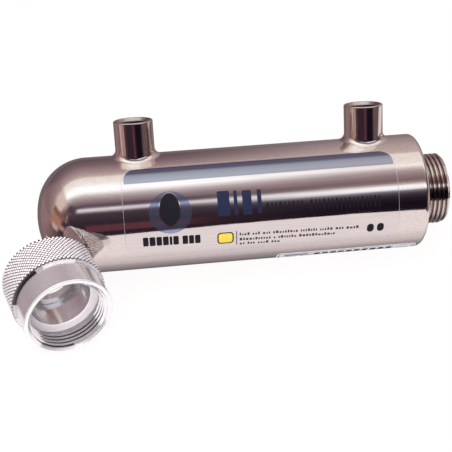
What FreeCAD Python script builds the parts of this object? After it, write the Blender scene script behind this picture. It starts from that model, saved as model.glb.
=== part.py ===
# In-line ultraviolet clarifier for pond and aquarium water.
#
# A polished stainless chamber lies on its side with its two threaded water
# ports pointing up and leaning a little backwards.  A quartz sleeve holding a
# four-pin germicidal lamp slides into the chamber through the threaded neck,
# and a knurled aluminium nut, shown taken off and lying beside the dished end,
# closes the neck over the sleeve's seal.
#
# Row frame: +X runs along the chamber from the dished end to the threaded
# neck, -Y is the labelled front, +Z is up from the surface it lies on.  The
# origin is the bottom centre of the whole object.  All sizes are millimetres.
#
# Chamber pieces are drawn in a chamber frame: x is the station measured from
# the tip of the dished end, z points along the ports.  The nut is drawn in its
# own frame, x measured inwards from its mouth.
import FreeCAD, Part
import math
import os

from FreeCAD import Vector, Placement, Rotation

doc = FreeCAD.newDocument("uv_clarifier")

# ---------------------------------------------------------------- dimensions
sheet = doc.addObject("Spreadsheet::Sheet", "Params")
CELLS = [
    # place of the chamber and the loose nut in the row frame
    ("tip_x", -83.598), ("axis_y", 19.805), ("axis_height", 25.4), ("lean_deg", 20.43),
    ("nut_x", -70.196), ("nut_y", -39.715), ("nut_turn_deg", 108.07),
    # chamber
    ("tube_r", 25.4), ("wall", 1.5), ("dome_depth", 22.5), ("dome_knuckle", 22.0),
    ("tube_len", 141.0), ("cap_len", 5.0), ("cap_edge", 2.4),
    # ports
    ("port_a_s", 44.5), ("port_b_s", 145.5), ("port_r", 8.5), ("port_top", 40.6),
    ("collar_top", 30.4), ("collar_fillet", 3.0), ("collar_bore_r", 6.6),
    ("thread_bore_r", 5.8), ("mouth_chamfer_r", 7.5), ("port_edge", 0.4),
    # neck
    ("neck_r", 15.75), ("neck_len", 12.0), ("neck_chamfer", 1.1), ("spigot_r", 14.0),
    ("spigot_len", 3.0), ("relief_r", 14.6), ("relief_len", 1.3), ("neck_bore_r", 12.2),
    ("seat_r", 14.1), ("seat_len", 2.3),
    # sleeve and its seal
    ("sleeve_r", 11.5), ("sleeve_bore_r", 10.0), ("sleeve_tip_s", 10.5), ("sleeve_end_s", 181.1),
    ("oring_r", 12.52), ("oring_wire", 1.0), ("oring_s", 180.17),
    # cradle and spring
    ("cradle_s", 24.5), ("cradle_len", 8.0), ("cradle_in_r", 11.8), ("cradle_out_r", 13.0),
    ("leg_t", 1.6), ("spring_r", 6.0), ("spring_wire", 0.45), ("spring_s", 2.75),
    ("spring_pitch", 2.2), ("spring_len", 8.8),
    # lamp
    ("glass_r", 7.75), ("glass_in_r", 6.95), ("glass_s", 21.0), ("glass_end_s", 159.0),
    ("capend_r", 8.5), ("capend_s", 19.0), ("capend_len", 10.0), ("socket_r", 7.8),
    ("base_r", 9.2), ("base_s", 155.0), ("base_end_s", 172.0), ("pin_r", 1.0), ("pin_hole_r", 1.0),
    ("pin_depth", 4.0), ("pin_reach", 7.0), ("pin_off", 3.4),
    ("lead_r", 0.7), ("lead_off", 8.5), ("ring_r", 9.85), ("ring_w", 3.0),
    ("stem_len", 8.0), ("stem_tip_r", 1.5), ("wire_r", 0.25), ("wire_off", 3.9),
    ("coil_r", 0.7), ("coil_wire", 0.18), ("coil_pitch", 0.72), ("coil_gap", 4.0),
    # labels: stations, angles up from the front, film thickness
    ("film_s0", 37.3), ("film_s1", 154.5), ("film_mid_deg", 13.2), ("film_half", 18.9),
    ("film_t", 0.1), ("film_corner", 7.0),
    ("plate_s0", 102.5), ("plate_s1", 165.3), ("plate_mid_deg", -78.0), ("plate_half", 11.2),
    ("plate_corner", 2.0),
    # loose nut
    ("skirt_r", 18.0), ("skirt_len", 12.3), ("groove_r", 17.5), ("groove_w", 0.5),
    ("knurl_r", 19.4), ("nut_len", 29.5), ("knurl_chamfer", 0.7), ("nut_bore_r", 12.6),
    ("ledge_d", 11.8), ("nut_thread_r", 15.95), ("nut_relief_r", 16.2), ("nut_relief_w", 2.2),
    ("nut_hole_r", 10.0), ("nut_floor", 3.75), ("nut_mouth_r", 16.6), ("nut_mouth_w", 0.65),
    ("nut_edge", 0.3),
]
for i, (name, value) in enumerate(CELLS):
    sheet.set("A%d" % (i + 1), name)
    sheet.set("B%d" % (i + 1), str(value))
    sheet.setAlias("B%d" % (i + 1), name)
doc.recompute()


class Dim:
    """A number together with the sheet expression that gives it."""

    def __init__(self, n, e):
        self.n, self.e = n, e

    def __add__(self, o):
        o = dim(o)
        return Dim(self.n + o.n, "(%s + %s)" % (self.e, o.e))

    def __sub__(self, o):
        o = dim(o)
        return Dim(self.n - o.n, "(%s - %s)" % (self.e, o.e))

    def __mul__(self, o):
        o = dim(o)
        return Dim(self.n * o.n, "(%s * %s)" % (self.e, o.e))

    def __truediv__(self, o):
        o = dim(o)
        return Dim(self.n / o.n, "(%s / %s)" % (self.e, o.e))


def dim(v):
    return v if isinstance(v, Dim) else Dim(float(v), repr(float(v)))


def dsqrt(v):
    return Dim(math.sqrt(v.n), "sqrt(%s)" % v.e)


D = {name: Dim(float(value), "Params." + name) for name, value in CELLS}


class P:
    pass


for _k, _v in D.items():
    setattr(P, _k, _v)

LEAN = D["lean_deg"].n
CHAMBER = Placement(Vector(P.tip_x.n, P.axis_y.n, P.axis_height.n), Rotation(Vector(1, 0, 0), -LEAN))
NUT = Placement(Vector(P.nut_x.n, P.nut_y.n, P.knurl_r.n), Rotation(Vector(0, 0, 1), P.nut_turn_deg.n))


def place_chamber(obj):
    obj.Placement = CHAMBER
    obj.setExpression(".Placement.Base.x", "Params.tip_x")
    obj.setExpression(".Placement.Base.y", "Params.axis_y")
    obj.setExpression(".Placement.Base.z", "Params.axis_height")


def place_nut(obj):
    obj.Placement = NUT
    obj.setExpression(".Placement.Base.x", "Params.nut_x")
    obj.setExpression(".Placement.Base.y", "Params.nut_y")
    obj.setExpression(".Placement.Base.z", "Params.knurl_r")


def plane_of(body, role):
    for f in body.Origin.OriginFeatures:
        if f.Role == role:
            return f
    raise RuntimeError(role)


def profile(body, name, points, plane="XY_Plane", arcs=None):
    """Closed sketch through points [(x, y)], each a Dim pair.

    arcs maps a segment number to (radius, (mid x, mid y)): that segment, from
    point i to point i + 1, is an arc of the given radius through about mid.
    """
    arcs = arcs or {}
    sk = body.newObject("Sketcher::SketchObject", name)
    sk.AttachmentSupport = [(plane_of(body, plane), "")]
    sk.MapMode = "FlatFace"
    n = len(points)
    pts = [(dim(a), dim(b)) for a, b in points]
    geo = []
    for i in range(n):
        a, b = pts[i], pts[(i + 1) % n]
        va, vb = Vector(a[0].n, a[1].n, 0), Vector(b[0].n, b[1].n, 0)
        if i in arcs:
            r, mid = arcs[i]
            arc = Part.Arc(va, Vector(mid[0], mid[1], 0), vb)
            curve = arc.toShape().Curve
            ccw = (Vector(mid[0], mid[1], 0) - va).cross(vb - va).z > 0
            c = curve.Center
            a0 = math.atan2(va.y - c.y, va.x - c.x)
            a1 = math.atan2(vb.y - c.y, vb.x - c.x)
            if not ccw:
                a0, a1 = a1, a0
            while a1 <= a0:
                a1 += 2 * math.pi
            circle = Part.Circle(Vector(c.x, c.y, 0), Vector(0, 0, 1), curve.Radius)
            gi = sk.addGeometry(Part.ArcOfCircle(circle, a0, a1), False)
            geo.append((gi, 1 if ccw else 2, 2 if ccw else 1, r))
        else:
            gi = sk.addGeometry(Part.LineSegment(va, vb), False)
            geo.append((gi, 1, 2, None))
    import Sketcher
    for i in range(n):
        g, s, e, r = geo[i]
        g2, s2, e2, r2 = geo[(i + 1) % n]
        sk.addConstraint(Sketcher.Constraint("Coincident", g, e, g2, s2))
    for i in range(n):
        g, s, e, r = geo[i]
        x, y = pts[i]
        if abs(x.n) < 1e-9 and abs(y.n) < 1e-9:
            sk.addConstraint(Sketcher.Constraint("Coincident", g, s, -1, 1))
        else:
            if abs(y.n) < 1e-9:
                sk.addConstraint(Sketcher.Constraint("PointOnObject", g, s, -1))
            else:
                c = sk.addConstraint(Sketcher.Constraint("DistanceY", -1, 1, g, s, y.n))
                sk.setExpression("Constraints[%d]" % c, y.e)
            if abs(x.n) < 1e-9:
                sk.addConstraint(Sketcher.Constraint("PointOnObject", g, s, -2))
            else:
                c = sk.addConstraint(Sketcher.Constraint("DistanceX", -1, 1, g, s, x.n))
                sk.setExpression("Constraints[%d]" % c, x.e)
        if r is not None:
            c = sk.addConstraint(Sketcher.Constraint("Radius", g, dim(r).n))
            sk.setExpression("Constraints[%d]" % c, dim(r).e)
    return sk


def turned(label, points, arcs=None, place=place_chamber, plane="XY_Plane", axis="H_Axis"):
    """A turned piece: a profile revolved once round its axis."""
    body = doc.addObject("PartDesign::Body", label)
    body.Label = label
    sk = profile(body, label + "_profile", points, plane, arcs)
    rev = body.newObject("PartDesign::Revolution", label + "_turn")
    rev.Profile = sk
    rev.ReferenceAxis = (sk, [axis])
    rev.Angle = 360.0
    sk.Visibility = False
    place(body)
    return body


NODES = []


def node(obj, label):
    obj.Label = label
    NODES.append((label, obj))
    return obj


def cylinder(name, r, h, base=(0, 0, 0), rot=None):
    """A primitive cylinder whose radius, height and base follow the sheet."""
    c = doc.addObject("Part::Cylinder", name)
    r, h = dim(r), dim(h)
    base = [dim(b) for b in base]
    c.Radius, c.Height = r.n, h.n
    c.setExpression("Radius", r.e)
    c.setExpression("Height", h.e)
    c.Placement = Placement(Vector(*[b.n for b in base]), rot or Rotation())
    for ax, b in zip("xyz", base):
        c.setExpression(".Placement.Base." + ax, b.e)
    return c


ALONG_X = Rotation(Vector(0, 1, 0), 90)

# ------------------------------------------------------------ chamber: shell
tube_s = P.dome_depth
tube_e = P.dome_depth + P.tube_len
face_s = tube_e + P.cap_len
mouth_s = face_s + P.neck_len

# Dished end: a crown arc centred on the axis runs into a knuckle arc that is
# tangent to the tube.
kn_y = P.tube_r - P.dome_knuckle
crown = (kn_y * kn_y + P.dome_depth * P.dome_depth - P.dome_knuckle * P.dome_knuckle) / (
    (P.dome_depth - P.dome_knuckle) * 2)
gap = crown - P.dome_knuckle


def dish(offset):
    """Points of the dished curve, offset inwards: tip, tangent point, rim."""
    rc, rk = crown - offset, P.dome_knuckle - offset
    tx = crown - rc * (crown - P.dome_depth) / gap
    ty = rc * kn_y / gap
    a0 = math.atan2(ty.n, crown.n - tx.n) / 2
    m1 = (crown.n - rc.n * math.cos(a0), rc.n * math.sin(a0))
    b0 = math.atan2(ty.n - kn_y.n, P.dome_depth.n - tx.n)
    b = (b0 + math.pi / 2) / 2
    m2 = (P.dome_depth.n - rk.n * math.cos(b), kn_y.n + rk.n * math.sin(b))
    return (dim(0) + offset, dim(0)), (tx, ty), rc, rk, m1, m2


tip_o, tan_o, rc_o, rk_o, m1_o, m2_o = dish(dim(0))
tip_i, tan_i, rc_i, rk_i, m1_i, m2_i = dish(P.wall)
node(turned("dome_end", [
    (0, 0), tan_o, (tube_s, P.tube_r), (tube_s, P.tube_r - P.wall), tan_i, (P.wall, 0),
], arcs={0: (rc_o, m1_o), 1: (rk_o, m2_o), 3: (rk_i, m2_i), 4: (rc_i, m1_i)}), "dome_end")

# Tube with two collars drawn out of its wall, each blended by a fillet.
outer = cylinder("tube_outer", P.tube_r, P.tube_len, (tube_s, 0, 0), ALONG_X)
col_a = cylinder("collar_a", P.port_r, P.collar_top - 10, (P.port_a_s, 0, 10))
col_b = cylinder("collar_b", P.port_r, P.collar_top - 10, (P.port_b_s, 0, 10))
drawn = doc.addObject("Part::MultiFuse", "drawn_tube")
drawn.Shapes = [outer, col_a, col_b]
doc.recompute()
roots = []
for i, e in enumerate(drawn.Shape.Edges):
    bb = e.BoundBox
    if bb.ZMin > 15 and bb.ZMax < P.tube_r.n + 0.01 and bb.ZLength > 0.5 and bb.YLength > 10:
        roots.append(i + 1)
if len(roots) < 2:
    raise RuntimeError("collar roots not found: %s" % roots)
blend = doc.addObject("Part::Fillet", "collar_blend")
blend.Base = drawn
blend.Edges = [(i, P.collar_fillet.n, P.collar_fillet.n) for i in roots]
doc.recompute()
inner = cylinder("tube_inner", P.tube_r - P.wall, P.tube_len + 2, (tube_s - 1, 0, 0), ALONG_X)
bore_a = cylinder("collar_bore_a", P.collar_bore_r, P.collar_top, (P.port_a_s, 0, 5))
bore_b = cylinder("collar_bore_b", P.collar_bore_r, P.collar_top, (P.port_b_s, 0, 5))
waste = doc.addObject("Part::MultiFuse", "tube_waste")
waste.Shapes = [inner, bore_a, bore_b]
tube = doc.addObject("Part::Cut", "chamber_tube")
tube.Base, tube.Tool = blend, waste
place_chamber(tube)
node(tube, "chamber_tube")

# Threaded water sockets welded on the collars.
for label, at in (("inlet_port", P.port_a_s), ("outlet_port", P.port_b_s)):
    def place_port(obj, at=at):
        c = CHAMBER.multVec(Vector(at.n, 0, 0))
        obj.Placement = Placement(c, Rotation(Vector(1, 0, 0), -LEAN))
        obj.setExpression(".Placement.Base.x", (P.tip_x + at).e)
        obj.setExpression(".Placement.Base.y", "Params.axis_y")
        obj.setExpression(".Placement.Base.z", "Params.axis_height")
    drop = P.mouth_chamfer_r - P.thread_bore_r
    node(turned(label, [
        (P.thread_bore_r, P.collar_top), (P.port_r, P.collar_top),
        (P.port_r, P.port_top - P.port_edge), (P.port_r - P.port_edge, P.port_top),
        (P.mouth_chamfer_r, P.port_top), (P.thread_bore_r, P.port_top - drop),
    ], place=place_port, plane="XZ_Plane", axis="V_Axis"), label)

# Pressed end cap with a rounded edge and a hole for the neck's spigot.
ei = P.cap_edge - P.wall
q = math.sqrt(0.5)
node(turned("end_cap", [
    (tube_e, P.tube_r), (face_s - P.cap_edge, P.tube_r), (face_s, P.tube_r - P.cap_edge),
    (face_s, P.spigot_r), (face_s - P.wall, P.spigot_r), (face_s - P.wall, P.tube_r - P.cap_edge),
    (face_s - P.cap_edge, P.tube_r - P.wall), (tube_e, P.tube_r - P.wall),
], arcs={
    1: (P.cap_edge, (face_s.n - P.cap_edge.n * (1 - q), P.tube_r.n - P.cap_edge.n * (1 - q))),
    5: (ei, (face_s.n - P.wall.n - ei.n * (1 - q), P.tube_r.n - P.wall.n - ei.n * (1 - q))),
}), "end_cap")

# Neck: spigot in the cap, thread relief, threaded length at its crest size,
# lead-in chamfer and the conical seat for the sleeve's seal.
node(turned("threaded_neck", [
    (face_s - P.spigot_len, P.neck_bore_r), (face_s - P.spigot_len, P.spigot_r),
    (face_s, P.spigot_r), (face_s, P.relief_r), (face_s + P.relief_len, P.relief_r),
    (face_s + P.relief_len, P.neck_r), (mouth_s - P.neck_chamfer, P.neck_r),
    (mouth_s, P.neck_r - P.neck_chamfer), (mouth_s, P.seat_r), (mouth_s - P.seat_len, P.neck_bore_r),
]), "threaded_neck")

# --------------------------------------------------- chamber: inner supports
# Three-legged cradle that centres the closed end of the sleeve.
ring = doc.addObject("Part::Cut", "cradle_ring")
ring.Base = cylinder("cradle_ring_out", P.cradle_out_r, P.cradle_len, (P.cradle_s, 0, 0), ALONG_X)
ring.Tool = cylinder("cradle_ring_in", P.cradle_in_r, P.cradle_len + 2, (P.cradle_s - 1, 0, 0), ALONG_X)
legs = []
for i, ang in enumerate((90, 210, 330)):
    leg = doc.addObject("Part::Box", "cradle_leg_%d" % i)
    leg.setExpression("Length", "Params.cradle_len - 2")
    leg.setExpression("Width", "Params.leg_t")
    leg.setExpression("Height", "Params.tube_r - Params.cradle_in_r - 0.6")
    rot = Rotation(Vector(1, 0, 0), ang)
    leg.Placement = Placement(
        Vector(P.cradle_s.n + 1, 0, 0) + rot.multVec(Vector(0, -P.leg_t.n / 2, P.cradle_in_r.n + 0.6)), rot)
    legs.append(leg)
spider = doc.addObject("Part::MultiFuse", "cradle_spider")
spider.Shapes = [ring] + legs
cradle = doc.addObject("Part::Common", "sleeve_cradle")
cradle.Base = spider
cradle.Tool = cylinder("cradle_trim", P.tube_r - P.wall, P.cradle_len + 4, (P.cradle_s - 2, 0, 0), ALONG_X)
place_chamber(cradle)
node(cradle, "sleeve_cradle")

# Soft spring between the dished end and the sleeve's closed end: four turns,
# each of two half rings tilted so that the coil advances by its pitch.
rise = P.spring_pitch.n / 2
half_rings = []
for k in range(int(round(P.spring_len.n / rise))):
    side = 1 if k % 2 == 0 else -1
    s0 = P.spring_s.n + k * rise
    a = Vector(s0, 0, side * P.spring_r.n)
    b = Vector(s0 + rise, 0, -side * P.spring_r.n)
    disc = Part.Face(Part.Wire([Part.makeCircle(P.spring_wire.n, a, Vector(0, 1, 0))]))
    turn = (b - a).cross(Vector(0, side, 0))
    half_rings.append(disc.revolve((a + b) / 2, turn, 180))
coil = half_rings[0].fuse(half_rings[1:]) if len(half_rings) > 1 else half_rings[0]
spring = doc.addObject("Part::Feature", "sleeve_spring")
spring.Shape = coil.Solids[0]
place_chamber(spring)
node(spring, "sleeve_spring")

# ------------------------------------------------------------------- labels
def label_film(label, s0, s1, mid_deg, half, corner):
    """Thin film wrapped on the tube, with rounded corners."""
    skin = doc.addObject("Part::Cut", label + "_skin")
    skin.Base = cylinder(label + "_out", P.tube_r + P.film_t, s1 - s0 + 10, (s0 - 5, 0, 0), ALONG_X)
    skin.Tool = cylinder(label + "_in", P.tube_r, s1 - s0 + 20, (s0 - 10, 0, 0), ALONG_X)
    box = doc.addObject("Part::Box", label + "_outline")
    box.setExpression("Length", (s1 - s0).e)
    box.setExpression("Width", (half * 2).e)
    box.Height = 40
    doc.recompute()
    cut = doc.addObject("Part::Fillet", label + "_corners")
    cut.Base = box
    cut.Edges = [(i + 1, corner.n, corner.n) for i, e in enumerate(box.Shape.Edges)
                 if e.BoundBox.ZLength > 30]
    # the outline's height runs out from the axis towards the label's middle,
    # which is mid_deg up from the front
    rot = Rotation(Vector(1, 0, 0), 90 - mid_deg.n)
    cut.Placement = Placement(Vector(s0.n, 0, 0) + rot.multVec(Vector(0, -half.n, 0)), rot)
    film = doc.addObject("Part::Common", label)
    film.Base, film.Tool = skin, cut
    place_chamber(film)
    return node(film, label)


label_film("front_label", P.film_s0, P.film_s1, P.film_mid_deg, P.film_half, P.film_corner)
label_film("rating_label", P.plate_s0, P.plate_s1, P.plate_mid_deg, P.plate_half, P.plate_corner)

# ---------------------------------------------------------- sleeve and seal
cs = P.sleeve_tip_s + P.sleeve_r
node(turned("quartz_sleeve", [
    (P.sleeve_tip_s, 0), (cs, P.sleeve_r), (P.sleeve_end_s, P.sleeve_r),
    (P.sleeve_end_s, P.sleeve_bore_r), (cs, P.sleeve_bore_r), (cs - P.sleeve_bore_r, 0),
], arcs={
    0: (P.sleeve_r, (cs.n - P.sleeve_r.n * q, P.sleeve_r.n * q)),
    4: (P.sleeve_bore_r, (cs.n - P.sleeve_bore_r.n * q, P.sleeve_bore_r.n * q)),
}), "quartz_sleeve")

seal = doc.addObject("Part::Torus", "sleeve_o_ring")
seal.setExpression("Radius1", "Params.oring_r")
seal.setExpression("Radius2", "Params.oring_wire")
c = CHAMBER.multVec(Vector(P.oring_s.n, 0, 0))
seal.Placement = Placement(c, ALONG_X)
seal.setExpression(".Placement.Base.x", (P.tip_x + P.oring_s).e)
node(seal, "sleeve_o_ring")

# --------------------------------------------------------------------- lamp
capend_in = P.glass_s
node(turned("lamp_end_cap", [
    (P.capend_s, 0), (P.capend_s, P.capend_r - 0.6), (P.capend_s + 0.6, P.capend_r),
    (P.capend_s + P.capend_len, P.capend_r), (P.capend_s + P.capend_len, P.socket_r),
    (capend_in, P.socket_r), (capend_in, 0),
]), "lamp_end_cap")

glass = doc.addObject("Part::Cut", "lamp_glass")
glass.Base = cylinder("glass_out", P.glass_r, P.glass_end_s - P.glass_s, (P.glass_s, 0, 0), ALONG_X)
glass.Tool = cylinder("glass_in", P.glass_in_r, P.glass_end_s - P.glass_s + 2, (P.glass_s - 1, 0, 0), ALONG_X)
place_chamber(glass)
node(glass, "lamp_glass")

base_body = turned("lamp_base_blank", [
    (P.base_s, P.socket_r), (P.base_s, P.base_r), (P.base_end_s - 0.8, P.base_r),
    (P.base_end_s, P.base_r - 0.8), (P.base_end_s, 0), (P.glass_end_s, 0), (P.glass_end_s, P.socket_r),
], place=lambda o: None)
holes, pins = [], []
OFF = [(1, 1), (1, -1), (-1, 1), (-1, -1)]
for i, (a, b) in enumerate(OFF):
    y, z = P.pin_off * a, P.pin_off * b
    holes.append(cylinder("pin_hole_%d" % i, P.pin_hole_r, P.pin_depth + 1,
                          (P.base_end_s - P.pin_depth, y, z), ALONG_X))
    pins.append(cylinder("pin_%d" % i, P.pin_r, P.pin_depth + P.pin_reach,
                         (P.base_end_s - P.pin_depth, y, z), ALONG_X))
hole_set = doc.addObject("Part::MultiFuse", "pin_holes")
hole_set.Shapes = holes
lamp_base = doc.addObject("Part::Cut", "lamp_base")
lamp_base.Base, lamp_base.Tool = base_body, hole_set
place_chamber(lamp_base)
node(lamp_base, "lamp_base")


def group(label, objs):
    """Several separate solids of one kind kept as one piece."""
    g = doc.addObject("Part::Compound", label)
    g.Links = objs
    place_chamber(g)
    return node(g, label)


group("lamp_pins", pins)

# Glass stems that close the ends of the lamp tube.
stem_a = turned("stem_far", [
    (P.glass_s, 0), (P.glass_s, P.glass_in_r), (P.glass_s + 1, P.glass_in_r),
    (P.glass_s + P.stem_len, P.stem_tip_r), (P.glass_s + P.stem_len, 0)], place=lambda o: None)
stem_b = turned("stem_near", [
    (P.glass_end_s, 0), (P.glass_end_s, P.glass_in_r), (P.glass_end_s - 1, P.glass_in_r),
    (P.glass_end_s - P.stem_len, P.stem_tip_r), (P.glass_end_s - P.stem_len, 0)], place=lambda o: None)
group("lamp_stems", [stem_a, stem_b])

# Two support wires stand on each stem and carry a coiled filament.
cone = (P.glass_in_r.n - P.stem_tip_r.n) / (P.stem_len.n - 1)
foot = 1 + (P.glass_in_r.n - (P.wire_off.n - P.wire_r.n)) / cone + 0.02
coil_s = P.stem_len.n + P.coil_gap.n
supports, coils = [], []
for k, (s0, sgn) in enumerate(((P.glass_s.n, 1), (P.glass_end_s.n, -1))):
    for side in (1, -1):
        a, b = s0 + sgn * foot, s0 + sgn * coil_s
        supports.append(cylinder("support_%d_%d" % (k, side + 1), P.wire_r, abs(b - a),
                                 (min(a, b), P.wire_off * side, 0), ALONG_X))
    span = 2 * (P.wire_off.n - P.wire_r.n) - 0.04
    h = Part.makeHelix(P.coil_pitch.n, span, P.coil_r.n)
    w = Part.Wire(h.Edges)
    e0 = w.Edges[0]
    ring_w = Part.Wire([Part.makeCircle(P.coil_wire.n, e0.valueAt(e0.FirstParameter), e0.tangentAt(e0.FirstParameter))])
    sh = w.makePipeShell([ring_w], True, True)
    sh = sh if sh.ShapeType == "Solid" else Part.makeSolid(sh)
    sh.rotate(Vector(0, 0, 0), Vector(1, 0, 0), 90)
    sh.translate(Vector(s0 + sgn * (coil_s - 0.9), span / 2, 0))
    coils.append(sh)
group("lamp_support_wires", supports)
fil = doc.addObject("Part::Feature", "lamp_filaments")
fil.Shape = Part.makeCompound(coils)
place_chamber(fil)
node(fil, "lamp_filaments")

# Insulated return lead outside the lamp glass, from the base to the far cap.
lead_a = P.capend_s + P.capend_len
group("return_lead", [cylinder("return_wire", P.lead_r, P.base_s - lead_a,
                               (lead_a, 0, P.lead_off), ALONG_X)])

# Silicone rings that centre the lamp in its sleeve.
rings = []
for nm, s0, rin in (("ring_far", P.capend_s + 3, P.capend_r), ("ring_near", P.base_s + 6, P.base_r)):
    r = doc.addObject("Part::Cut", nm)
    r.Base = cylinder(nm + "_out", P.ring_r, P.ring_w, (s0, 0, 0), ALONG_X)
    r.Tool = cylinder(nm + "_in", rin, P.ring_w + 2, (s0 - 1, 0, 0), ALONG_X)
    rings.append(r)
group("lamp_spacer_rings", rings)

# ----------------------------------------------------------------- loose nut
ke = P.nut_len
kn0 = P.skirt_len + P.groove_w
node(turned("lamp_nut", [
    (0, P.nut_mouth_r), (0, P.skirt_r - P.nut_edge), (P.nut_edge, P.skirt_r), (P.skirt_len, P.skirt_r),
    (P.skirt_len, P.groove_r), (kn0, P.groove_r), (kn0, P.knurl_r - 0.4), (kn0 + 0.4, P.knurl_r),
    (ke - P.knurl_chamfer, P.knurl_r), (ke, P.knurl_r - P.knurl_chamfer), (ke, P.nut_hole_r),
    (ke - P.nut_floor, P.nut_hole_r), (ke - P.nut_floor, P.nut_bore_r), (P.ledge_d, P.nut_bore_r),
    (P.ledge_d, P.nut_relief_r), (P.ledge_d - P.nut_relief_w, P.nut_relief_r),
    (P.ledge_d - P.nut_relief_w, P.nut_thread_r), (P.nut_mouth_w, P.nut_thread_r),
], place=place_nut), "lamp_nut")

# ------------------------------------------------------------ check and write
doc.recompute()
bad = [o.Name for o in doc.Objects if any(s in o.State for s in ("Invalid", "Error"))]
if bad:
    raise RuntimeError("failed features: %s" % bad)
whole = None
for label, obj in NODES:
    sh = obj.Shape
    if sh.isNull() or not sh.isValid() or not sh.Solids or sh.Volume <= 0:
        raise RuntimeError("bad shape: " + label)
    bb = sh.BoundBox
    whole = bb if whole is None else whole.united(bb)
    print("%-20s solids %d  volume %9.1f mm3  x %.2f..%.2f y %.2f..%.2f z %.2f..%.2f" % (
        label, len(sh.Solids), sh.Volume, bb.XMin, bb.XMax, bb.YMin, bb.YMax, bb.ZMin, bb.ZMax))
print("whole  x %.3f..%.3f  y %.3f..%.3f  z %.3f..%.3f" % (
    whole.XMin, whole.XMax, whole.YMin, whole.YMax, whole.ZMin, whole.ZMax))
print("centre x %.3f y %.3f" % ((whole.XMin + whole.XMax) / 2, (whole.YMin + whole.YMax) / 2))

os.makedirs("parts", exist_ok=True)
for label, obj in NODES:
    obj.Shape.exportStep("parts/%s.step" % label)
print("wrote %d nodes" % len(NODES))
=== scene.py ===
# Looks of the in-line UV clarifier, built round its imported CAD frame.
import math

import bmesh
import bpy
import numpy as np
from mathutils import Matrix, Vector


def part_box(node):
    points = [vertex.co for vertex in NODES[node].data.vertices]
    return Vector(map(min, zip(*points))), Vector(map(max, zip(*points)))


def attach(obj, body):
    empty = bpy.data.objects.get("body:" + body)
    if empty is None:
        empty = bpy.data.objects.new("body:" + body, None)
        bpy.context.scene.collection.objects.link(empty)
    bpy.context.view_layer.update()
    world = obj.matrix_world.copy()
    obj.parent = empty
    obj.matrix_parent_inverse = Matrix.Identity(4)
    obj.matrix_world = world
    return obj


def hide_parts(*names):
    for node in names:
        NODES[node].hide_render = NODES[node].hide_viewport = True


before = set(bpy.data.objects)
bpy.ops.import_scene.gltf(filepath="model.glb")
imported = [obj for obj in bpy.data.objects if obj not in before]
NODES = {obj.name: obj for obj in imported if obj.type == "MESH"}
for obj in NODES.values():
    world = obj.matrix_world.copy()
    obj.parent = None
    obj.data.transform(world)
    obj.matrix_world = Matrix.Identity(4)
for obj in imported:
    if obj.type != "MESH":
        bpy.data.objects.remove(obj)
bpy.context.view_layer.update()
scene = bpy.context.scene

# ------------------------------------------------------------------ frames
# chamber frame, millimetres: x from the tip of the dished end, z along ports
lo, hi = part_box("dome_end")
TIP_X, AX_Y, AX_Z = lo.x * 1000, (lo.y + hi.y) * 500, (lo.z + hi.z) * 500
LEAN = math.radians(20.43)
R = 25.4
MM = Matrix.Scale(0.001, 4)
CH = MM @ Matrix.Translation((TIP_X, AX_Y, AX_Z)) @ Matrix.Rotation(-LEAN, 4, "X")
# nut frame: x inwards from the mouth
NUT_X, NUT_Y, NUT_R, NUT_TURN = -70.196, -39.715, 19.4, math.radians(108.07)
NUT = MM @ Matrix.Translation((NUT_X, NUT_Y, NUT_R)) @ Matrix.Rotation(NUT_TURN, 4, "Z")

FACE, MOUTH = 168.5, 180.5


# --------------------------------------------------------------- mesh tools
def arc(cx, cy, r, a0, a1, n):
    """Points on an arc, angles in degrees."""
    return [(cx + r * math.cos(math.radians(a0 + (a1 - a0) * i / n)),
             cy + r * math.sin(math.radians(a0 + (a1 - a0) * i / n))) for i in range(n + 1)]


def supported(profile, closed=True, edge=0.35, step=1e9):
    """Adds points close to both ends of each long straight run."""
    out = []
    n = len(profile)
    last = n if closed else n - 1
    for i in range(last):
        a, b = profile[i], profile[(i + 1) % n]
        out.append(a)
        d = math.dist(a, b)
        if d > edge * 4:
            cuts = [edge / d]
            m = int(d // step)
            cuts += [k / (m + 1) for k in range(1, m + 1)]
            cuts.append(1 - edge / d)
            for t in cuts:
                out.append((a[0] + (b[0] - a[0]) * t, a[1] + (b[1] - a[1]) * t))
    if not closed:
        out.append(profile[-1])
    return out


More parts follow.
